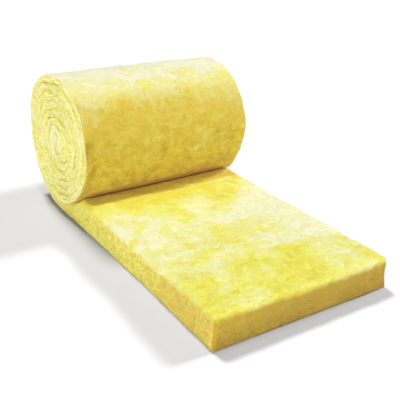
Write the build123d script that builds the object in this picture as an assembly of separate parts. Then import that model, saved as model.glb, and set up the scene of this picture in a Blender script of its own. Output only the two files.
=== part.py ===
from build123d import *
import os
from math import atan2, degrees, sqrt

# A blanket of glass wool, wound up into a roll, with its free end laid out on the floor.
# It is one piece: the wool in the roll is squeezed thin, and the laid end has sprung back.
# The section is drawn in the YZ plane, with the laid end towards -Y and the roll's axis along X.
# Lengths are in millimetres.

# The blanket as it is cut
blanket_width = 600.0
loft_thickness = 100.0
laid_length = 870.0
long_edge_radius = 10.0

# The cut end of the laid stretch, across the blanket
cut_top_radius = 18.0
cut_bottom_radius = 12.0

# The wound roll: each half turn steps out by half of a layer and its gap
layer_thickness = 26.0
layer_gap = 1.0
eye_radius = 12.0
half_turns = 15

# The turns show on both ends of the roll, as a groove that narrows to the gap between the layers
groove_depth = 14.0
groove_mouth = 8.0

# Where the roll presses on the stretch that it lies on
pressed_thickness = 45.0
lift_off_distance = 25.0
heel_tuck = 12.0
lip_radius = 30.0

quarter_turn = 90.0
half_turn = 180.0

pitch = layer_thickness + layer_gap
roll_radius = eye_radius + layer_thickness + (half_turns - 1) * pitch / 2

# The back halves of the turns share one centre, and the front halves another, half a pitch higher
back_centre = (0, pressed_thickness + roll_radius - layer_thickness)
front_centre = (0, back_centre[1] + pitch / 2)
front_radius = roll_radius - pitch / 2
seat_radius = front_radius + layer_gap

# The roll rises from the floor in the heel's tight arc, and goes on up its back in a flatter one
heel_run = roll_radius - lift_off_distance
heel_radius = heel_run - heel_tuck
heel_centre = (lift_off_distance, heel_radius)
heel_drop = back_centre[1] - heel_radius
back_radius = (heel_run**2 + heel_drop**2 - heel_radius**2) / (2 * heel_tuck)
back_arc_centre = (roll_radius - back_radius, back_centre[1])
back_angle = degrees(atan2(heel_drop, heel_centre[0] - back_arc_centre[0]))

# The lip swells up beside the roll, a layer's gap away from its front
lip_height = loft_thickness - lip_radius
lip_drop = front_centre[1] - lip_height
lip_reach = sqrt((seat_radius + lip_radius) ** 2 - lip_drop**2)
lip_angle = degrees(atan2(lip_reach, lip_drop))
crevice_angle = half_turn - lip_angle


def on_circle(centre, radius, angle):
    """The point of a circle at an angle in degrees, counted from +Y towards +Z."""
    return Vector(centre) + Vector(radius, 0).rotate(Axis.Z, angle)


def roll_outline():
    """The outside of the roll, from the floor up the back, over the top and down to the crevice."""
    heel = CenterArc(heel_centre, heel_radius, -quarter_turn, quarter_turn - back_angle)
    back = CenterArc(back_arc_centre, back_radius, -back_angle, back_angle)
    shoulder = CenterArc(back_centre, roll_radius, 0, quarter_turn)
    front = CenterArc(front_centre, front_radius, quarter_turn, crevice_angle)
    return [heel, back, shoulder, front]


def crevice_outline():
    """The bottom of the crevice between the roll and the lip, as wide as the gap between two layers."""
    middle_radius = front_radius + layer_gap / 2
    centre = on_circle(front_centre, middle_radius, quarter_turn + crevice_angle)
    return CenterArc(centre, layer_gap / 2, -quarter_turn - lip_angle, half_turn)


def laid_outline():
    """The free end: the lip, the flat top, the cut end and the underside on the floor."""
    end = -laid_length
    top_centre = (end + cut_top_radius, loft_thickness - cut_top_radius)
    bottom_centre = (end + cut_bottom_radius, cut_bottom_radius)
    return [
        CenterArc((-lip_reach, lip_height), lip_radius, quarter_turn - lip_angle, lip_angle),
        Line((-lip_reach, loft_thickness), (top_centre[0], loft_thickness)),
        CenterArc(top_centre, cut_top_radius, quarter_turn, quarter_turn),
        Line((end, top_centre[1]), (end, bottom_centre[1])),
        CenterArc(bottom_centre, cut_bottom_radius, half_turn, quarter_turn),
        Line((bottom_centre[0], 0), (lift_off_distance, 0)),
    ]


def blanket():
    """The whole outline run out to the blanket's width, with its two long edges softened."""
    outline = roll_outline() + [crevice_outline()] + laid_outline()
    section = make_face(Plane.YZ * Curve(outline))
    wool = extrude(section, blanket_width / 2, both=True)
    sides = wool.faces().filter_by(Axis.X)
    return fillet(sides.edges(), long_edge_radius)


def half_turn_arc(number, wall_offset):
    """One half turn of the winding, counted inwards from the outermost, set in by wall_offset."""
    radius = roll_radius - number * pitch / 2 - wall_offset
    if number % 2 == 0:
        return CenterArc(back_centre, radius, -quarter_turn, half_turn)
    return CenterArc(front_centre, radius, quarter_turn, half_turn)


def winding_gap(gap_width):
    """The gap between the turns, from the crevice in to the eye, with gap_width from wall to wall."""
    spread = (gap_width - layer_gap) / 2
    start_angle = quarter_turn + crevice_angle
    mouth = Line(
        on_circle(front_centre, front_radius - spread, start_angle),
        on_circle(front_centre, seat_radius + spread, start_angle),
    )
    seat = CenterArc(front_centre, seat_radius + spread, start_angle, lip_angle)
    under_front = CenterArc(front_centre, front_radius - spread, start_angle, lip_angle)
    outer_walls = [half_turn_arc(number, spread) for number in range(2, half_turns)]
    inner_walls = [half_turn_arc(number, layer_thickness - spread) for number in range(half_turns)]

    # The inner cut end of the blanket is rounded over, at the top of the eye
    tip_radius = layer_thickness / 2
    tip_centre = (0, back_centre[1] + eye_radius + tip_radius)
    tip = CenterArc(tip_centre, tip_radius - spread, quarter_turn, half_turn)
    return make_face(Plane.YZ * Curve([mouth, seat, under_front, tip] + outer_walls + inner_walls))


def winding_groove():
    """The groove on the +X end of the roll, which leaves the rounded edges of the turns standing."""
    end = blanket_width / 2
    at_end = Pos(end, 0, 0) * winding_gap(groove_mouth)
    at_bottom = Pos(end - groove_depth, 0, 0) * winding_gap(layer_gap)
    return loft([at_bottom, at_end], ruled=True)


# The origin is on the floor, under the middle of the whole piece
middle = (roll_radius - laid_length) / 2
groove = winding_groove()
wool = Pos(0, -middle, 0) * (blanket() - groove - mirror(groove, Plane.YZ))

os.makedirs("parts", exist_ok=True)
export_step(wool, "parts/glass_wool_blanket.step")
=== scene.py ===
import math

import bmesh
import bpy
from mathutils import Matrix, Vector, noise


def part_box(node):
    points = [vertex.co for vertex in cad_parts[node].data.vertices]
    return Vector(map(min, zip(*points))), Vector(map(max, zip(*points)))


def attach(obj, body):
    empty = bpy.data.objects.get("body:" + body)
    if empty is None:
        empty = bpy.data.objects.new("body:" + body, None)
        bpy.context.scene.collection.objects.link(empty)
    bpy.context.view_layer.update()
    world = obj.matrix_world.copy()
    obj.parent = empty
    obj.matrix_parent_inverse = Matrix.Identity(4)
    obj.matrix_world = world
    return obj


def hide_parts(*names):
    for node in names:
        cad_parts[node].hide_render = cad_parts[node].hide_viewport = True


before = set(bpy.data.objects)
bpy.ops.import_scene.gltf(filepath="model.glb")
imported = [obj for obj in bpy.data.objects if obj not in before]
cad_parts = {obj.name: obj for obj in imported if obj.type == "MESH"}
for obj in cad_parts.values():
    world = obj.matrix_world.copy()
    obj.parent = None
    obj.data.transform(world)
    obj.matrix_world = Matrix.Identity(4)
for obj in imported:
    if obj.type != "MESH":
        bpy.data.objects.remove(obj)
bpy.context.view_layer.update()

# The blanket of glass wool
# One unfaced blanket, 600 mm wide and 100 mm thick, spun from yellow resin-bound glass fibres.
# It is wound up so tightly that each layer is squeezed to a quarter, and its free end lies on the
# floor, where it has sprung back. Nothing holds it: the roll rests in a hollow that its weight pressed.
low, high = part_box("glass_wool_blanket")
width = high[0] - low[0]
cut_end = low[1]
floor = low[2]
loft = 0.100

# How it is wound: the back halves of the turns share one centre, and the front halves another
layer = 0.026
gap = 0.001
pitch = layer + gap
half_turns = 15
eye_radius = 0.012
roll_radius = eye_radius + layer + (half_turns - 1) * pitch / 2
axis_y = high[1] - roll_radius
pressed_loft = 0.045
back_centre = Vector((axis_y, floor + pressed_loft + roll_radius - layer))
front_centre = back_centre + Vector((0, pitch / 2))
front_radius = roll_radius - pitch / 2
seat_radius = front_radius + gap

# The heel is where the blanket leaves the floor, and the lip where the wool swells up beside the roll
lift_off = 0.025
heel_tuck = 0.012
heel_run = roll_radius - lift_off
heel_radius = heel_run - heel_tuck
heel_drop = back_centre.y - heel_radius
back_radius = (heel_run**2 + heel_drop**2 - heel_radius**2) / (2 * heel_tuck)
heel_centre = Vector((axis_y + lift_off, floor + heel_radius))
back_arc_centre = Vector((high[1] - back_radius, back_centre.y))
lip_radius = 0.030
lip_height = floor + loft - lip_radius
lip_drop = front_centre.y - lip_height
lip_reach = math.sqrt((seat_radius + lip_radius) ** 2 - lip_drop**2)
lip_angle = math.atan2(lip_reach, lip_drop)
crevice_y = axis_y - seat_radius * math.sin(lip_angle)

# Distances along the blanket are counted from its cut end
laid_length = axis_y - cut_end
crevice_along = crevice_y - cut_end
turn_radii = [roll_radius - layer / 2 - number * pitch / 2 for number in range(half_turns)]
turn_starts = [laid_length + math.pi * sum(turn_radii[:number]) for number in range(half_turns)]
blanket_length = laid_length + math.pi * sum(turn_radii)
roll_top = turn_starts[1]
roll_meets_laid = turn_starts[1] + (math.pi - lip_angle) * turn_radii[1]
first_turn_end = turn_starts[2]

# The flat blanket is gridded about every 5 mm along it, and closer near its long edges
grid_step = 0.0055
steps_along = round(blanket_length / grid_step)
steps_through = 16
edge_columns = (0.0018, 0.0040, 0.0075, 0.0125)
columns_across = 92

# How far its edges are rounded
laid_edge_round = 0.016
wound_edge_round = (0.0005, 0.0050)
floor_edge_round = 0.001
cut_end_round = 0.018

# How far it strays from a true winding: the turns have crept out at both ends of the roll, and the far
# end has sagged a little. The laid stretch is narrower beside the roll, and the cut across its end isn't
# quite square. The eye is squeezed shut, the turns bulge, and here and there they leave a pocket.
end_creep = 0.009
far_end_sag = 0.016
side_waist = 0.006
cut_slant = 0.007
eye_squeeze = 0.92
eye_reach = 0.045
bulges = ((6, 0.0075), (17, 0.0022))
pocket_depth = 0.010
pocket_rarity = 0.26

# How ragged the cut edges are, with the waves per metre of their leaves and pits along the blanket,
# across it and through it, and how far from each edge and from the floor the relief fades
leaf_waves = Vector((22, 7, 70))
leaf_height = 0.0052
pit_waves = Vector((36, 5, 36))
pit_depth = 0.022
pit_rarity = 0.22
cut_fade = 0.008
corner_fade = 0.03
floor_fade = (-0.005, 0.015)
rim_evenness = 0.8
rim_fade = 0.03


def put_in_order(bm):
    """Sorts a mesh by where its points lie, along it first, so that it comes out the same each time."""
    bm.verts.sort(key=lambda vertex: vertex.co.dot(Vector((10000, 100, 1))))
    bm.verts.index_update()
    count = len(bm.verts)
    for parts in (bm.edges, bm.faces):
        numbers = {part: [vertex.index for vertex in part.verts] for part in parts}
        parts.sort(key=lambda part: min(numbers[part]) * count + max(numbers[part]))
        parts.index_update()


def flat_blanket():
    """The blanket before it is wound: X runs along it, Y through its thickness and Z across it."""
    bm = bmesh.new()
    bmesh.ops.create_grid(bm, x_segments=steps_along, y_segments=steps_through, size=0.5)
    bmesh.ops.scale(bm, verts=bm.verts, vec=(blanket_length, loft, 1))
    bmesh.ops.translate(bm, verts=bm.verts, vec=(blanket_length / 2, loft / 2, -width / 2))
    bmesh.ops.reverse_faces(bm, faces=bm.faces)
    places = [-width / 2 + column for column in edge_columns]
    places += [-place for place in reversed(places)] + [width / 2]
    front_faces = bm.faces[:]
    for number, place in enumerate(places):
        extruded = bmesh.ops.extrude_face_region(bm, geom=front_faces)["geom"]
        if number:
            bmesh.ops.delete(bm, geom=front_faces, context="FACES")
        front_faces = [part for part in extruded if isinstance(part, bmesh.types.BMFace)]
        for vertex in [part for part in extruded if isinstance(part, bmesh.types.BMVert)]:
            vertex.co.z = place
    bmesh.ops.recalc_face_normals(bm, faces=bm.faces)
    put_in_order(bm)
    return bm


def shows(edge):
    """Whether an edge that runs across the flat blanket stays open to view once the blanket is wound."""
    start, end = (vertex.co for vertex in edge.verts)
    if abs(end.z - start.z) < width / 2:
        return False
    if start.y > loft - grid_step / 2:
        return start.x < crevice_along + 0.02
    if start.y < grid_step / 2:
        return laid_length - 0.02 < start.x < first_turn_end
    return True


def eased(value, start, end):
    """Rises smoothly from 0 to 1 as value goes from start to end."""
    share = min(max((value - start) / (end - start), 0), 1)
    return share * share * (3 - 2 * share)


def waves(spot, *sizes):
    """Uneven waves added up at a spot. Each size is a number of waves per metre and their height."""
    return sum(height * noise.noise(spot * per_metre) for per_metre, height in sizes)


def crease_stray(along, across):
    """How far the crease over this stretch of wool strays outwards from an even spiral."""
    spot = Vector((along, across / 3, 0.7))
    stray = waves(spot, (13, 0.0060), (43, 0.0042), (95, 0.0020))
    return eased(along, crevice_along, crevice_along + 0.1) * stray


def crease_opening(along, across):
    """How far the two layers stand apart where the wool leaves a pocket between them."""
    pocket = max(noise.noise(Vector((along * 21, across * 4, 15.3))) - pocket_rarity, 0)
    return eased(along, crevice_along, crevice_along + 0.1) * pocket_depth * pocket


def arc_distance(start, direction, centre, radius):
    """How far a ray that starts inside an arc runs before it meets the arc."""
    to_start = start - centre
    along_ray = to_start.dot(direction)
    return math.sqrt(along_ray**2 + radius**2 - to_start.length_squared) - along_ray


heel_meets_back = heel_centre + (heel_centre - back_arc_centre).normalized() * heel_radius
heel_turn = math.atan2(heel_meets_back.x - back_centre.x, back_centre.y - heel_meets_back.y)
lift_off_turn = math.atan2(lift_off, back_centre.y - floor)


def heel_distance(turned, direction):
    """How far the outside of the heel lies from the centre of the back half turns."""
    if turned < lift_off_turn:
        return (back_centre.y - floor) / math.cos(turned)
    if turned < heel_turn:
        return arc_distance(back_centre, direction, heel_centre, heel_radius)
    return arc_distance(back_centre, direction, back_arc_centre, back_radius)


def laid_walls(along, across):
    """The underside and the top of the laid end, with its lip and the hollow under the roll."""
    y = cut_end + along
    lip_y = axis_y - lip_reach
    if y < lip_y:
        top = floor + loft
    elif y < crevice_y:
        top = lip_height + math.sqrt(lip_radius**2 - (y - lip_y) ** 2)
    else:
        hollow = seat_radius + crease_stray(along, across) + crease_opening(along, across) / 2
        top = front_centre.y - math.sqrt(hollow**2 - (y - axis_y) ** 2)
    return Vector((y, floor)), Vector((y, top))


def wound_walls(along, across):
    """The outside and the inside of a layer in the roll."""
    number = max(turn for turn in range(half_turns) if turn_starts[turn] <= along)
    turned = (along - turn_starts[number]) / turn_radii[number]
    direction = Vector((math.sin(turned), -math.cos(turned)))
    centre = back_centre
    if number % 2:
        direction = -direction
        centre = front_centre
    outside = roll_radius - number * pitch / 2
    inside = outside - layer + crease_stray(along, across) + crease_opening(along, across) / 2
    wool_below = 0
    if number > 1:
        wool_below = turn_starts[number - 2] + turned * turn_radii[number - 2]
    elif number == 1 and turned > math.pi / 2:
        wool_below = axis_y - front_radius * math.sin(turned) - cut_end
    if wool_below:
        outside += crease_stray(wool_below, across) - crease_opening(wool_below, across) / 2
    elif number == 0 and turned < math.pi / 2:
        outside = heel_distance(turned, direction)
    return centre + direction * outside, centre + direction * inside


def rounded(insets, radii):
    """Moves a point of a sharp box onto a rounded one. The insets are its distances from three faces."""
    pulls = [max(1 - inset / radius, 0) for inset, radius in zip(insets, radii)]
    reach = max(math.hypot(*pulls), 1)
    pulled = [radius * (1 - pull / reach) for radius, pull in zip(radii, pulls)]
    return [moved if pull else inset for inset, moved, pull in zip(insets, pulled, pulls)]


def out_of_round(place, across):
    """Bends the whole winding: its eye is squeezed shut, its far end sags, and no turn is quite round."""
    from_axis = place - Vector((axis_y, (back_centre.y + front_centre.y) / 2))
    squeeze = eye_squeeze * math.exp(-from_axis.length_squared / eye_reach**2)
    sag = 1 - far_end_sag / (2 * roll_radius) * eased(across, -width / 2, width / 2)
    place = Vector((place.x - from_axis.x * squeeze, floor + (place.y - floor) * sag))
    spot = Vector((place.x, place.y, across / 3))
    aside = waves(spot, *bulges)
    upwards = waves(spot + Vector((5, 1, 1)), *bulges)
    return place + Vector((aside, upwards)) * eased(place.y, floor, floor + 0.06)


def wound_place(along, through, across):
    """Where a point of the flat blanket comes to lie in the roll or on the floor."""
    walls = laid_walls if along < laid_length else wound_walls
    outer, inner = walls(along, across)
    thickness = (inner - outer).length
    near_inside = through > loft / 2
    face_inset = thickness * (loft - through if near_inside else through) / loft
    side_inset = width / 2 - abs(across)
    inner_end = along > blanket_length / 2
    end_inset = blanket_length - along if inner_end else along

    # Its edges are rounded: widely along the top of the laid end, and hardly at all on the floor
    wound = eased(along, laid_length, first_turn_end)
    off_floor = eased(through, 0, loft / 2)
    side_round = floor_edge_round + (laid_edge_round - floor_edge_round) * off_floor
    end_round = floor_edge_round + (cut_end_round - floor_edge_round) * off_floor
    layer_round = eased(noise.noise(Vector((along * 15, through * 9, across * 3))), -0.12, 0.40)
    layer_round *= 1 - 0.5 * eased(along, blanket_length - 0.7, blanket_length - 0.2)
    layer_round = wound_edge_round[0] + (wound_edge_round[1] - wound_edge_round[0]) * layer_round
    side_round += (layer_round - side_round) * wound
    if inner_end:
        end_round = layer / 2
    insets = rounded((side_inset, end_inset, face_inset), (side_round, end_round, side_round))
    side_inset, end_inset, face_inset = insets
    outer, inner = walls(blanket_length - end_inset if inner_end else end_inset, across)
    share = face_inset / thickness
    place = out_of_round(outer.lerp(inner, 1 - share if near_inside else share), across)

    # Along its sides the layers stand out by different amounts
    side = math.copysign(1, across)
    spot = Vector((along, side / 2, through / 4))
    stray = waves(spot, (9, 0.0025 + 0.0020 * wound), (38, 0.0007 + 0.0014 * wound))
    stray += eased(along, laid_length, roll_top) * end_creep
    if side < 0:
        stray -= eased(along, 0, 0.5) * (1 - eased(along, laid_length, roll_top)) * side_waist
    half_width = width / 2 + stray * eased(abs(across), 0.15, width / 2)
    slant = cut_slant * (1 - eased(along, 0, 0.3)) * eased(across, -width / 2, width / 2)
    return Vector((side * (half_width - side_inset) + slant, place.x - slant, place.y))


def tuft_height(spot):
    """How far the fleecy face of the wool stands up or sinks in."""
    return waves(spot, (10, 0.0042), (29, 0.0032), (61, 0.0028), (120, 0.0010))


def cut_height(spot, wound):
    """How far the cut edge stands out: it is crumbly, and in the roll it splits into leaves and pits."""
    leaf = noise.noise(spot * leaf_waves)
    crumb = waves(spot, (30, 0.0026), (60, 0.0018), (85, 0.0034 * wound))
    pit = max(noise.noise(spot * pit_waves) - pit_rarity, 0)
    return crumb + wound * (leaf_height * leaf - pit_depth * pit)


def openness(along, through):
    """From 0, shut in between two layers or on the floor, to 1, open to view."""
    if through > loft / 2:
        return 1 - eased(along, crevice_along - 0.04, crevice_along)
    leaves_floor = eased(along, laid_length + 0.01, laid_length + 0.1)
    return leaves_floor * (1 - eased(along, first_turn_end - 0.2, first_turn_end - 0.15))


flat = flat_blanket()
open_edges = [edge for edge in flat.edges if shows(edge)]
bmesh.ops.subdivide_edges(flat, edges=open_edges, cuts=columns_across)
put_in_order(flat)
unrolled = flat.verts.layers.float_vector.new("unrolled")
standing = flat.verts.layers.float.new("standing")
fluffy = flat.verts.layers.float.new("fluffy")
for vertex in flat.verts:
    along, through, across = vertex.co
    vertex[unrolled] = Vector((along, across, through))
    vertex.co = wound_place(along, through, across)
flat.normal_update()
for vertex in flat.verts:
    spot = vertex[unrolled]
    along, across, through = spot
    on_cut = 1 - eased(width / 2 - abs(across), 0, cut_fade)
    off_corner = eased(along + (width / 2 - abs(across)), 0, corner_fade)
    if along < grid_step / 2:
        on_cut = off_corner
    wound = eased(along, laid_length, laid_length + 0.2)
    sideways = abs(vertex.normal.x) if wound else 1
    is_open = openness(along, through)
    on_rim = (1 - eased(through, 0, rim_fade)) * (1 - eased(along, roll_meets_laid, first_turn_end))
    ragged = wound * (1 - rim_evenness * on_rim)
    height = on_cut * sideways * cut_height(spot, ragged) + (1 - on_cut) * is_open * tuft_height(spot)
    height *= off_corner * eased(through + loft * wound, *floor_fade)
    vertex[standing] = height
    vertex[fluffy] = max(is_open, on_cut)
    vertex.co += vertex.normal * height
    vertex.co.z = max(vertex.co.z, floor)

wool_mesh = bpy.data.meshes.new("glass_wool_blanket_wool")
flat.to_mesh(wool_mesh)
flat.free()
wool_mesh.polygons.foreach_set("use_smooth", [True] * len(wool_mesh.polygons))
wool = bpy.data.objects.new("wound_glass_wool", wool_mesh)
bpy.context.collection.objects.link(wool)

# Its colour is in the resin that binds the fibres: lemon where the fleece is loose, cream in the tufts
# that have taken no resin, gold on the outside of the roll, and amber along the cut edges
# Light and shade are painted into this colour in places, as said below
wool_material = bpy.data.materials.new("glass_wool")
wool_material.use_nodes = True
tree = wool_material.node_tree
shader = tree.nodes["Principled BSDF"]
place_on_blanket = tree.nodes.new("ShaderNodeAttribute")
place_on_blanket.attribute_name = "unrolled"
standing_out = tree.nodes.new("ShaderNodeAttribute")
standing_out.attribute_name = "standing"
place_parts = tree.nodes.new("ShaderNodeSeparateXYZ")
tree.links.new(place_on_blanket.outputs["Vector"], place_parts.inputs["Vector"])
along_it = place_parts.outputs["X"]
across_it = place_parts.outputs["Y"]
depth = place_parts.outputs["Z"]


def fibre_noise(scale, stretch=(1, 1, 1), detail=4, roughness=0.6, distortion=0, kind="FBM"):
    """A noise that follows the blanket. It is scaled per metre, and stretched along, across and through."""
    mapping = tree.nodes.new("ShaderNodeMapping")
    mapping.inputs["Scale"].default_value = stretch
    texture = tree.nodes.new("ShaderNodeTexNoise")
    texture.noise_type = kind
    texture.inputs["Scale"].default_value = scale
    texture.inputs["Detail"].default_value = detail
    texture.inputs["Roughness"].default_value = roughness
    texture.inputs["Distortion"].default_value = distortion
    tree.links.new(place_on_blanket.outputs["Vector"], mapping.inputs["Vector"])
    tree.links.new(mapping.outputs["Vector"], texture.inputs["Vector"])
    return texture.outputs["Fac"]


def between(value, low_end, high_end, low_out=0, high_out=1):
    """Maps a value smoothly from one range to another, clamped at both ends."""
    mapping = tree.nodes.new("ShaderNodeMapRange")
    mapping.interpolation_type = "SMOOTHSTEP"
    mapping.inputs["From Min"].default_value = low_end
    mapping.inputs["From Max"].default_value = high_end
    mapping.inputs["To Min"].default_value = low_out
    mapping.inputs["To Max"].default_value = high_out
    tree.links.new(value, mapping.inputs["Value"])
    return mapping.outputs["Result"]


def combined(operation, first, second):
    """One value from two, by a sum, a product or the like."""
    maths = tree.nodes.new("ShaderNodeMath")
    maths.operation = operation
    for socket, value in zip(maths.inputs, (first, second)):
        if isinstance(value, (int, float)):
            socket.default_value = value
        else:
            tree.links.new(value, socket)
    return maths.outputs["Value"]


def overlap(first, second):
    """How far two places on the blanket, each from 0 to 1, overlap."""
    return combined("MULTIPLY", first, second)


def mixture(*shares):
    """The sum of some values, each times its share."""
    total = combined("MULTIPLY", *shares[0])
    for value, share in shares[1:]:
        total = combined("ADD", total, combined("MULTIPLY", value, share))
    return total


def dyed(value, *stops):
    """A colour that runs through some stops, each a place from 0 to 1 and a colour."""
    ramp = tree.nodes.new("ShaderNodeValToRGB")
    ramp.color_ramp.interpolation = "EASE"
    while len(ramp.color_ramp.elements) < len(stops):
        ramp.color_ramp.elements.new(0.5)
    for element, (place, colour) in zip(ramp.color_ramp.elements, stops):
        element.position = place
        element.color = (*colour, 1)
    tree.links.new(value, ramp.inputs["Fac"])
    return ramp.outputs["Color"]


def blended(share, first, second):
    """The first colour turning into the second as share goes from 0 to 1."""
    mix = tree.nodes.new("ShaderNodeMix")
    mix.data_type = "RGBA"
    tree.links.new(share, mix.inputs["Factor"])
    colour_sockets = [socket for socket in mix.inputs if socket.type == "RGBA"]
    for socket, colour in zip(colour_sockets, (first, second)):
        if isinstance(colour, tuple):
            socket.default_value = (*colour, 1)
        else:
            tree.links.new(colour, socket)
    return next(socket for socket in mix.outputs if socket.type == "RGBA")


clouds = fibre_noise(9, stretch=(0.9, 0.8, 1), detail=2, roughness=0.5, distortion=0.7)
patches = fibre_noise(27, stretch=(1, 0.7, 1), detail=4, roughness=0.6, distortion=0.8)
wisps = fibre_noise(75, stretch=(1, 0.6, 1), detail=4, roughness=0.65, distortion=1.2)
dabs = fibre_noise(38, stretch=(1, 0.8, 1), detail=5, roughness=0.6, distortion=0.5)
felt = fibre_noise(260, stretch=(1, 0.7, 1), detail=4, roughness=0.7, distortion=1.5)

# A tone runs from 0 where the wool is darkest to 1 where it is palest. The noises and the places on the
# blanket each add their share to it.

# The face that the laid end shows: lemon and cream in clouds, paler along its right side, and golden
# where the roll squeezes it and shades it. Painted shade darkens it towards the roll and where its
# relief sinks in, and a painted highlight runs along its top rim at the cut end.
# Painted shade, partly the wool's own colour: darker where the relief sinks in, here and on the other faces
sunken_shade = between(standing_out.outputs["Fac"], -0.006, 0.0, 1, 0)
# Painted shade: darker towards the roll, where its soft shadow falls
shade_near_roll = between(along_it, crevice_along - 0.25, crevice_along - 0.07)
near_end = between(along_it, 0.02, 0.30, 1, 0)
# Painted highlight: paler along the top rim at the cut end
rim_highlight = between(along_it, 0.006, 0.025, 1, 0)
right_side = overlap(between(across_it, 0.08, 0.24), between(along_it, 0.0, 0.2))
left_side = overlap(between(across_it, -0.28, -0.12, 1, 0), between(along_it, 0.25, 0.45))
fleece_tone = mixture((clouds, 0.95), (patches, 0.6), (wisps, 0.35), (felt, 0.2), (-0.55, 1))
fleece_tone = mixture(
    (fleece_tone, 1.25),
    (right_side, 0.43),
    (left_side, 0.15),
    (shade_near_roll, -0.50),
    (near_end, -0.25),
    (rim_highlight, 0.08),
    (sunken_shade, -0.25),
    (-0.04, 1),
)
deep_lemon = (0.755, 0.675, 0.062)
lemon = (0.80, 0.765, 0.13)
pale_lemon = (0.815, 0.80, 0.29)
cream = (0.85, 0.845, 0.54)
fleece = dyed(fleece_tone, (0.16, deep_lemon), (0.40, lemon), (0.58, pale_lemon), (0.80, cream))

# In front of the roll it is squeezed, and the strip there that lies in the roll's cast shadow is painted a
# bright gold: partly the squeezed wool, partly painted shade colour and fill light. Under the roll only its
# edges show.
squeezed = between(along_it, crevice_along - 0.084, crevice_along - 0.068)
squeezed = overlap(squeezed, between(across_it, -0.3, -0.23, 0.3, 0.85))
squeezed = overlap(squeezed, between(across_it, 0.27, 0.30, 1, 0.2))
squeezed_shadow_gold = (0.93, 0.69, 0.078)
fleece = blended(squeezed, fleece, squeezed_shadow_gold)
off_edges = overlap(between(across_it, -0.285, -0.23), between(across_it, 0.23, 0.275, 1, 0))
# Painted shade: brown in the crevice between the roll and the laid end
crevice_shade = between(along_it, crevice_along - 0.020, crevice_along - 0.006)
crevice_shade_brown = (0.60, 0.27, 0.016)
fleece = blended(overlap(crevice_shade, off_edges), fleece, crevice_shade_brown)
# Painted light: under the roll the hidden face is a bright lemon, which lights up the creases on its ends
under_roll = between(along_it, crevice_along + 0.05, crevice_along + 0.15)
crease_fill_lemon = (0.94, 0.85, 0.15)
fleece = blended(under_roll, fleece, crease_fill_lemon)
in_eye = between(along_it, blanket_length - 0.5, blanket_length - 0.1)
end_pale = (0.945, 0.89, 0.335)
fleece = blended(in_eye, fleece, end_pale)

# The face that the roll shows: gold, paler high up with painted light, and darker low down and along its
# left rim with painted shade
top_light = between(along_it, roll_top + 0.06, roll_top + 0.22, 1, 0)
low_shade = between(along_it, roll_meets_laid - 0.16, roll_meets_laid - 0.05)
left_rim_shade = overlap(between(across_it, -0.300, -0.288), between(across_it, -0.280, -0.260, 1, 0))
outside_tone = mixture((clouds, 0.3), (patches, 0.8), (dabs, 1.05), (wisps, 0.65), (felt, 0.2))
outside_tone = mixture(
    (outside_tone, 1),
    (sunken_shade, -0.15),
    (top_light, 0.30),
    (left_rim_shade, -0.10),
    (low_shade, -0.22),
    (-0.95, 1),
)
dark_gold = (0.60, 0.41, 0.034)
gold = (0.745, 0.525, 0.044)
light_gold = (0.765, 0.60, 0.082)
warm_lemon = (0.79, 0.70, 0.14)
outside = dyed(outside_tone, (0.22, dark_gold), (0.42, gold), (0.62, light_gold), (0.82, warm_lemon))

# Pale wool on its top hangs down the front in fingers, partly paler tufts and partly painted light on the
# top, with a band of painted shade below them
fingers = fibre_noise(42, stretch=(0.3, 1, 1), detail=5, roughness=0.68, distortion=0.5)
pale_front = mixture((along_it, 1), (fingers, -0.32), (clouds, -0.25))
pale_front = between(pale_front, roll_top - 0.165, roll_top - 0.07, 1, 0)
pale_back = between(along_it, roll_top - 0.34, roll_top - 0.22)
very_top = between(along_it, roll_top, roll_top + 0.15, 1, 0)
pale_tone = mixture((clouds, 0.5), (patches, 0.9), (wisps, 0.6), (felt, 0.3), (very_top, 0.30), (-0.76, 1))
top_lemon = (0.77, 0.72, 0.15)
top_pale = (0.775, 0.74, 0.31)
top_cream = (0.82, 0.80, 0.57)
pale_and_lit_top = dyed(pale_tone, (0.25, top_lemon), (0.45, top_pale), (0.72, top_cream))
outside = blended(overlap(pale_front, pale_back), outside, pale_and_lit_top)
below_fingers = between(along_it, roll_top + 0.10, roll_top + 0.18)
above_middle = between(along_it, roll_top + 0.22, roll_top + 0.33, 1, 0)
shaded = combined("MULTIPLY", overlap(below_fingers, above_middle), 0.55)
shaded_gold = (0.605, 0.458, 0.058)
outside = blended(shaded, outside, shaded_gold)
# Painted shade: brown low on the roll, in the crevice where it meets the laid end
roll_crevice_shade = between(along_it, roll_meets_laid - 0.052, roll_meets_laid - 0.022)
outside = blended(overlap(roll_crevice_shade, off_edges), outside, crevice_shade_brown)
# Painted light: the hidden face inside the roll is a bright lemon, which lights up the creases on its ends
inside_roll = between(along_it, roll_meets_laid + 0.03, roll_meets_laid + 0.1)
outside = blended(inside_roll, outside, crease_fill_lemon)
outside = blended(in_eye, outside, end_pale)

# The cut edges lie between the two fleecy faces
ragged_depth = mixture((depth, 1), (patches, 0.016), (between(along_it, 0.15, 0.6), 0.010))
below_top = between(ragged_depth, loft - 0.014, loft + 0.010, 1, 0)
in_roll = between(along_it, laid_length - 0.1, laid_length + 0.25)
from_outside = mixture((depth, 1), (in_roll, -0.014), (0.014, 1))
above_bottom = between(from_outside, 0.003, 0.016)
on_cut_edge = overlap(below_top, above_bottom)
on_outside = between(from_outside, 0.003, 0.016, 1, 0)

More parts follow.
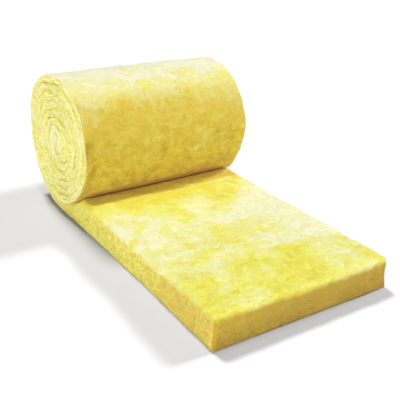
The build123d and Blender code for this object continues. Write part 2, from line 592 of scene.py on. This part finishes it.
# Along the sides of the laid end they are amber with paler crumbs, and paler at the near corner with a
# painted highlight
crumbs = fibre_noise(100, detail=4, roughness=0.65, distortion=0.5)
side_tone = mixture((crumbs, 1.5), (patches, 0.6), (clouds, 0.4), (-0.75, 1))
side_tone = mixture(
    (side_tone, 1),
    (between(along_it, 0.0, 0.45), 0.30),
    # Painted highlight at the near corner
    (between(along_it, 0.0, 0.035, 1, 0), 0.22),
    (-0.12, 1),
)
amber = (0.64, 0.445, 0.052)
cut_gold = (0.695, 0.53, 0.077)
side_cut = dyed(side_tone, (0.28, amber), (0.50, cut_gold), (0.80, lemon), (0.98, pale_lemon))

# On both ends of the roll they are pale, with olive pits between the leaves: painted shade in the pits
# and where the relief sinks in
leaves = fibre_noise(64, stretch=(0.55, 0.4, 1.1), detail=5, roughness=0.7, distortion=1.0)
# Painted shade: small olive pits
pits = fibre_noise(150, stretch=(0.7, 0.6, 1), detail=2, roughness=0.5, distortion=0.5)
pits = between(pits, 0.56, 0.68)
leaf_tone = mixture(
    (leaves, 1.6),
    (crumbs, 0.9),
    (sunken_shade, -0.12),
    (in_eye, 0.20),
    (pits, -0.50),
    (-0.63, 1),
)
olive = (0.62, 0.515, 0.10)
end_lemon = (0.92, 0.83, 0.19)
end_cream = (0.95, 0.93, 0.585)
rolled_cut = dyed(leaf_tone, (0.27, olive), (0.38, end_lemon), (0.55, end_pale), (0.75, end_cream))
cut_wool = blended(in_roll, side_cut, rolled_cut)

# Across the laid end they are a darker copy of the cut edges' colour, brown as painted shade, a little
# paler towards the top as painted light, and darker towards the right
end_tone = mixture(
    (crumbs, 0.6),
    (patches, 0.5),
    (clouds, 0.2),
    (between(depth, 0.005, 0.085), 0.22),
    (between(across_it, 0.02, 0.24), -0.15),
    (-0.34, 1),
)
shaded_end_brown = (0.47, 0.28, 0.024)
shaded_end_gold = (0.565, 0.375, 0.033)
shaded_end_cut = dyed(end_tone, (0.15, shaded_end_brown), (0.50, shaded_end_gold), (0.85, cut_gold))
on_cut_end = between(along_it, 0.003, 0.012, 1, 0)
cut_wool = blended(on_cut_end, cut_wool, shaded_end_cut)

colour = blended(on_outside, fleece, outside)
colour = blended(on_cut_edge, colour, cut_wool)
tree.links.new(colour, shader.inputs["Base Color"])

# The surface is a felt of fine fibres that lie along the faces, and it scatters light softly
ridged = "RIDGED_MULTIFRACTAL"
fibres = fibre_noise(210, stretch=(1, 0.6, 1), detail=8, roughness=0.75, distortion=2.0, kind=ridged)
relief = mixture((patches, 0.5), (wisps, 0.9), (fibres, 0.3))
bump = tree.nodes.new("ShaderNodeBump")
bump.inputs["Strength"].default_value = 0.8
bump.inputs["Distance"].default_value = 0.008
tree.links.new(relief, bump.inputs["Height"])
tree.links.new(bump.outputs["Normal"], shader.inputs["Normal"])
shader.inputs["Roughness"].default_value = 0.95
shader.inputs["Specular IOR Level"].default_value = 0.15
shader.inputs["Subsurface Weight"].default_value = 0.4
shader.inputs["Subsurface Radius"].default_value = (1.0, 0.7, 0.25)
shader.inputs["Subsurface Scale"].default_value = 0.010
shader.inputs["Sheen Weight"].default_value = 0.3
shader.inputs["Sheen Roughness"].default_value = 0.5
shader.inputs["Sheen Tint"].default_value = (1.0, 0.93, 0.55, 1)

wool.data.materials.append(wool_material)
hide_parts("glass_wool_blanket")
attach(wool, "root")

# The loose fibres
# Short ends of glass fibre that the felt doesn't hold down. They stick out of every open face and
# every cut edge, bent over, and they take the blanket's own colour where they grow.
fibre_length = 0.010
fibre_radius = 0.0004
fibre_joints = 3
fibre_bend = math.radians(20)
fibre_taper = 0.7
fibre_lean = (math.radians(35), math.radians(75))
fibre_sizes = (0.5, 1.3)
fibre_bm = bmesh.new()
bmesh.ops.create_circle(fibre_bm, cap_ends=True, radius=fibre_radius, segments=3)
tip = fibre_bm.faces[:]
for joint in range(fibre_joints):
    extruded = bmesh.ops.extrude_face_region(fibre_bm, geom=tip)["geom"]
    if joint:
        bmesh.ops.delete(fibre_bm, geom=tip, context="FACES")
    tip = [part for part in extruded if isinstance(part, bmesh.types.BMFace)]
    corners = [part for part in extruded if isinstance(part, bmesh.types.BMVert)]
    middle = sum((corner.co for corner in corners), Vector()) / len(corners)
    pivot = Matrix.Translation(-middle)
    bmesh.ops.scale(fibre_bm, vec=(fibre_taper,) * 3, verts=corners, space=pivot)
    bmesh.ops.rotate(fibre_bm, cent=middle, matrix=Matrix.Rotation(fibre_bend, 3, "X"), verts=corners)
    lean = Vector((0, 0, 1))
    lean.rotate(Matrix.Rotation(fibre_bend * (joint + 0.5), 3, "X"))
    bmesh.ops.translate(fibre_bm, vec=lean * fibre_length / fibre_joints, verts=corners)
bmesh.ops.recalc_face_normals(fibre_bm, faces=fibre_bm.faces)
fibre_mesh = bpy.data.meshes.new("one_glass_fibre")
fibre_bm.to_mesh(fibre_mesh)
fibre_bm.free()
one_fibre = bpy.data.objects.new("one_glass_fibre", fibre_mesh)
bpy.context.collection.objects.link(one_fibre)


def strewn(name, per_square_metre, seed, first, last, on_cut):
    """Fibres strewn over a stretch of the blanket, given along it, on its faces or on its cut edges."""
    group = bpy.data.node_groups.new(name, "GeometryNodeTree")
    group.interface.new_socket("Geometry", in_out="INPUT", socket_type="NodeSocketGeometry")
    group.interface.new_socket("Geometry", in_out="OUTPUT", socket_type="NodeSocketGeometry")
    nodes = group.nodes
    link = group.links.new
    surface = nodes.new("NodeGroupInput").outputs["Geometry"]
    root = nodes.new("GeometryNodeInputNamedAttribute")
    root.data_type = "FLOAT_VECTOR"
    root.inputs["Name"].default_value = "unrolled"
    root_parts = nodes.new("ShaderNodeSeparateXYZ")
    link(root.outputs["Attribute"], root_parts.inputs["Vector"])
    fluff = nodes.new("GeometryNodeInputNamedAttribute")
    fluff.data_type = "FLOAT"
    fluff.inputs["Name"].default_value = "fluffy"

    def compared(value, operation, limit):
        """Whether a value is above or below a limit."""
        test = nodes.new("FunctionNodeCompare")
        test.data_type = "FLOAT"
        test.operation = operation
        link(value, test.inputs["A"])
        test.inputs["B"].default_value = limit
        return test.outputs["Result"]

    def both(first_test, second_test):
        """Whether two tests both hold."""
        test = nodes.new("FunctionNodeBooleanMath")
        test.operation = "AND"
        link(first_test, test.inputs[0])
        link(second_test, test.inputs[1])
        return test.outputs["Boolean"]

    side = nodes.new("ShaderNodeMath")
    side.operation = "ABSOLUTE"
    link(root_parts.outputs["Y"], side.inputs[0])
    edge_line = width / 2 - edge_columns[0] / 2
    chosen = compared(side.outputs["Value"], "GREATER_THAN" if on_cut else "LESS_THAN", edge_line)
    chosen = both(chosen, compared(root_parts.outputs["X"], "GREATER_THAN", first))
    chosen = both(chosen, compared(root_parts.outputs["X"], "LESS_THAN", last))
    chosen = both(chosen, compared(fluff.outputs["Attribute"], "GREATER_THAN", 0.5))
    scatter = nodes.new("GeometryNodeDistributePointsOnFaces")
    scatter.inputs["Density"].default_value = per_square_metre
    scatter.inputs["Seed"].default_value = seed
    link(surface, scatter.inputs["Mesh"])
    link(chosen, scatter.inputs["Selection"])

    fibre = nodes.new("GeometryNodeObjectInfo")
    fibre.inputs["Object"].default_value = one_fibre
    leaning = nodes.new("FunctionNodeRandomValue")
    leaning.data_type = "FLOAT_VECTOR"
    leaning.inputs["Min"].default_value = (fibre_lean[0], 0, 0)
    leaning.inputs["Max"].default_value = (fibre_lean[1], 0, 2 * math.pi)
    turned = nodes.new("FunctionNodeEulerToRotation")
    link(leaning.outputs["Value"], turned.inputs["Euler"])
    lie = nodes.new("FunctionNodeRotateRotation")
    lie.rotation_space = "LOCAL"
    link(scatter.outputs["Rotation"], lie.inputs["Rotation"])
    link(turned.outputs["Rotation"], lie.inputs["Rotate By"])
    sizes = nodes.new("FunctionNodeRandomValue")
    sizes.data_type = "FLOAT"
    size_inputs = [socket for socket in sizes.inputs if socket.type == "VALUE"]
    for socket, size in zip(size_inputs, fibre_sizes):
        socket.default_value = size
    grow = nodes.new("GeometryNodeInstanceOnPoints")
    link(scatter.outputs["Points"], grow.inputs["Points"])
    link(fibre.outputs["Geometry"], grow.inputs["Instance"])
    link(lie.outputs["Rotation"], grow.inputs["Rotation"])
    link(next(socket for socket in sizes.outputs if socket.type == "VALUE"), grow.inputs["Scale"])
    realize = nodes.new("GeometryNodeRealizeInstances")
    link(grow.outputs["Instances"], realize.inputs["Geometry"])
    link(realize.outputs["Geometry"], nodes.new("NodeGroupOutput").inputs["Geometry"])

    strewing = bpy.data.objects.new(name, wool_mesh)
    bpy.context.collection.objects.link(strewing)
    modifier = strewing.modifiers.new("strewn_fibres", "NODES")
    modifier.node_group = group
    bpy.context.view_layer.update()
    evaluated = strewing.evaluated_get(bpy.context.evaluated_depsgraph_get())
    mesh = bpy.data.meshes.new_from_object(evaluated)
    bpy.data.objects.remove(strewing)
    for corner in mesh.vertices:
        corner.co.z = max(corner.co.z, floor)
    mesh.materials.clear()
    mesh.materials.append(wool_material)
    fibres_piece = bpy.data.objects.new(name, mesh)
    bpy.context.collection.objects.link(fibres_piece)
    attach(fibres_piece, "root")


strewn("fibres_on_laid_wool", 12000, 1, 0, laid_length, on_cut=False)
strewn("fibres_on_rolled_wool", 10000, 2, laid_length, first_turn_end, on_cut=False)
strewn("fibres_on_laid_edges", 12000, 3, 0, laid_length, on_cut=True)
strewn("fibres_on_rolled_edges", 20000, 4, laid_length, blanket_length, on_cut=True)
bpy.data.objects.remove(one_fibre)

# The floor
# A plain grey studio floor, which lamps of its own light up to white. It runs far behind the roll, so
# that it is the background as well, and lies a hair below the wool.
floor_reach = 30
hair = 0.0001
floor_grey = (0.20, 0.199, 0.201)
floor_mesh = bpy.data.meshes.new("studio_floor")
floor_bm = bmesh.new()
bmesh.ops.create_grid(floor_bm, x_segments=1, y_segments=1, size=floor_reach)
bmesh.ops.translate(floor_bm, verts=floor_bm.verts, vec=(0, 0, floor - hair))
floor_bm.to_mesh(floor_mesh)
floor_bm.free()
floor_piece = bpy.data.objects.new("studio_floor", floor_mesh)
bpy.context.collection.objects.link(floor_piece)
floor_paint = bpy.data.materials.new("white_floor")
floor_paint.use_nodes = True
floor_shader = floor_paint.node_tree.nodes["Principled BSDF"]
floor_shader.inputs["Base Color"].default_value = (*floor_grey, 1)
floor_shader.inputs["Roughness"].default_value = 0.9
floor_mesh.materials.append(floor_paint)

# The light
# A high lamp straight over the roll, a lower one from beyond its far end, two soft fills from the left
# and from the front, and white surroundings
surroundings = bpy.data.worlds.new("white_studio")
bpy.context.scene.world = surroundings
surroundings.use_nodes = True
backdrop = surroundings.node_tree.nodes["Background"]
backdrop.inputs["Color"].default_value = (1, 1, 1, 1)
backdrop.inputs["Strength"].default_value = 0.25


def lamp(name, comes_from, strength, spread):
    """A far lamp whose light comes from a direction; spread is how soft its shadows are, in degrees."""
    light = bpy.data.lights.new(name, "SUN")
    light.energy = strength
    light.angle = math.radians(spread)
    lamp_object = bpy.data.objects.new(name, light)
    lamp_object.rotation_euler = Vector(comes_from).to_track_quat("Z", "Y").to_euler()
    bpy.context.collection.objects.link(lamp_object)
    return lamp_object


lamp("overhead_lamp", (-0.08, 0.0, 1), 1.40, 3)
lamp("right_lamp", (1.4, -0.05, 1), 2.02, 6)
lamp("left_fill", (-1, -0.3, 0.12), 2.46, 40)
lamp("front_fill", (-0.4, -1, 0.12), 0.96, 40)

# Three more lamps light the floor alone, for the shadows to the left of the piece and in front of its
# laid end
lit_by_floor_lamps = bpy.data.collections.new("lit_by_floor_lamps")
lit_by_floor_lamps.objects.link(floor_piece)
right_floor_lamp = lamp("right_floor_lamp", (1.4, 0.03, 1), 5.4, 14)
back_floor_lamp = lamp("back_floor_lamp", (0.0, 0.58, 1), 8.4, 11)
left_floor_lamp = lamp("left_floor_lamp", (-1, -0.3, 0.6), 1.7, 40)
for floor_lamp in (right_floor_lamp, back_floor_lamp, left_floor_lamp):
    floor_lamp.light_linking.receiver_collection = lit_by_floor_lamps

scene = bpy.context.scene
scene.view_settings.view_transform = "Standard"
scene.view_settings.look = "None"

# The camera
# It stands to the left in front of the laid end and looks down along it, as in the photograph. Its focal
# length, the width of the picture and the centre of the view are in the photograph's pixels.
camera_place = Vector((-1.161, -1.552, 1.060))
camera_heading = math.radians(31.13)
camera_dip = math.radians(26.42)
camera_roll = math.radians(1.38)
sensor_width = 36
focal_length = 668
picture_width = 400
view_centre = Vector((128, 200))

heading = Vector((math.sin(camera_heading), math.cos(camera_heading), 0))
ahead = heading * math.cos(camera_dip) - Vector((0, 0, math.sin(camera_dip)))
level = Vector((heading.y, -heading.x, 0))
upright = level.cross(ahead)
rightwards = level * math.cos(camera_roll) + upright * math.sin(camera_roll)
upwards = upright * math.cos(camera_roll) - level * math.sin(camera_roll)
camera_data = bpy.data.cameras.new("camera")
camera_data.sensor_width = sensor_width
camera_data.lens = focal_length / picture_width * sensor_width
camera_data.shift_x = 0.5 - view_centre.x / picture_width
camera_data.shift_y = view_centre.y / picture_width - 0.5
camera_data.clip_end = 200
camera = bpy.data.objects.new("camera", camera_data)
turn = Matrix((rightwards, upwards, -ahead)).transposed()
camera.matrix_world = Matrix.Translation(camera_place) @ turn.to_4x4()
bpy.context.collection.objects.link(camera)
scene.camera = camera
